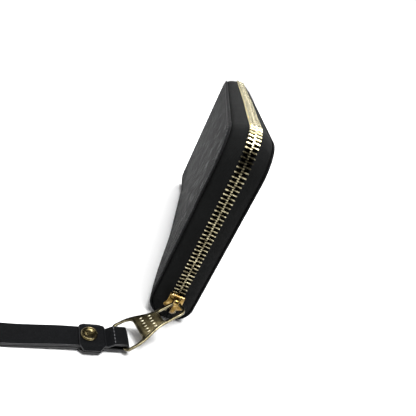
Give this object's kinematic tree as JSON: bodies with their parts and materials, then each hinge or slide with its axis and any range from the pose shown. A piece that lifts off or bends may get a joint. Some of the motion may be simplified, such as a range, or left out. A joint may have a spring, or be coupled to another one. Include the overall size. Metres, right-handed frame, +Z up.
{
  "type": "wristlet wallet",
  "caption": "Long zip-around leather wallet standing on its rounded spine, with a metal zip, a bottle-shaped pull and a flat looped wrist strap.",
  "frame": {"origin": "centre of the spine's flat underside, which the closed wallet stands on", "axes": "+X along the wallet towards the zip's closed end, +Y through the thickness from the front cover to the back cover, +Z up from the spine to the long zipped edge"},
  "size_m": [0.2757, 0.171, 0.1089],
  "materials": {
    "grained_leather": "satin, fine pebbled grain",
    "strap_leather": "satin, smooth fine grain",
    "card_leather": "matte, fine grain",
    "lining": "matte twill",
    "gusset_cloth": "matte twill",
    "board": "matte fibre board",
    "zip_tape": "woven polyester tape",
    "zip_brass": "aged brass, satin",
    "slider_gold": "polished gold plate",
    "pull_bronze": "polished pale gold",
    "rivet_gold": "polished gold plate"
  },
  "bodies": {
    "spine": {"spine_leather": "grained_leather", "spine_lining": "lining", "spine_end_near": "strap_leather", "spine_end_far": "strap_leather", "zip_end_stop": "zip_brass", "coin_base": "card_leather", "coin_wall_front": "card_leather", "coin_wall_back": "card_leather", "coin_tape_front": "zip_tape", "coin_tape_back": "zip_tape", "coin_teeth_front": "zip_brass", "coin_teeth_back": "zip_brass", "gusset_front_near": "gusset_cloth", "gusset_front_far": "gusset_cloth", "gusset_back_near": "gusset_cloth", "gusset_back_far": "gusset_cloth"},
    "front_cover": {"front_panel": "grained_leather", "front_board": "board", "front_lining": "lining", "front_card_backing": "card_leather", "front_card_slot_1": "card_leather", "front_card_slot_2": "card_leather", "front_card_slot_3": "card_leather", "front_card_slot_4": "card_leather", "front_zip_tape": "zip_tape", "front_zip_teeth": "zip_brass", "front_zip_stop": "zip_brass"},
    "back_cover": {"back_panel": "grained_leather", "back_board": "board", "back_lining": "lining", "back_card_backing": "card_leather", "back_card_slot_1": "card_leather", "back_card_slot_2": "card_leather", "back_card_slot_3": "card_leather", "back_card_slot_4": "card_leather", "back_zip_tape": "zip_tape", "back_zip_teeth": "zip_brass", "back_zip_stop": "zip_brass"},
    "zip_slider": {"slider_body": "slider_gold", "slider_bridge": "slider_gold"},
    "zip_pull": {"pull_plate": "pull_bronze"},
    "wrist_strap": {"strap_band": "strap_leather", "keeper_top": "strap_leather", "keeper_bottom": "strap_leather", "rivet_cap": "rivet_gold", "rivet_post": "rivet_gold"},
    "coin_slider": {"coin_slider_body": "slider_gold"},
    "coin_pull": {"coin_pull": "slider_gold"}
  },
  "joints": [
    {"name": "front_cover_swing", "type": "hinge", "parent": "spine", "child": "front_cover", "pos_m": [0, -0.0114, 0.008], "axis": [1, 0, 0], "range_deg": [0, 40]},
    {"name": "back_cover_swing", "type": "hinge", "parent": "spine", "child": "back_cover", "pos_m": [0, 0.0114, 0.008], "axis": [-1, 0, 0], "range_deg": [0, 40]},
    {"name": "zip_slide", "type": "slide", "parent": "spine", "child": "zip_slider", "axis": [0, 0, 1], "range_m": [0, 0.06]},
    {"name": "pull_lift", "type": "hinge", "parent": "zip_slider", "child": "zip_pull", "pos_m": [0.1033, 0, 0.0156], "axis": [-0.7649, -0.6441, 0], "range_deg": [0, 60]},
    {"name": "strap_swing", "type": "hinge", "parent": "zip_pull", "child": "wrist_strap", "pos_m": [0.1222, -0.02004, 0.0033], "axis": [-0.7649, -0.6441, 0], "range_deg": [0, 45]},
    {"name": "coin_zip_slide", "type": "slide", "parent": "spine", "child": "coin_slider", "axis": [-1, 0, 0], "range_m": [0, 0.13]},
    {"name": "coin_pull_lift", "type": "hinge", "parent": "coin_slider", "child": "coin_pull", "pos_m": [0.07125, 0, 0.08255], "axis": [0, 1, 0], "range_deg": [0, 60]}
  ]
}
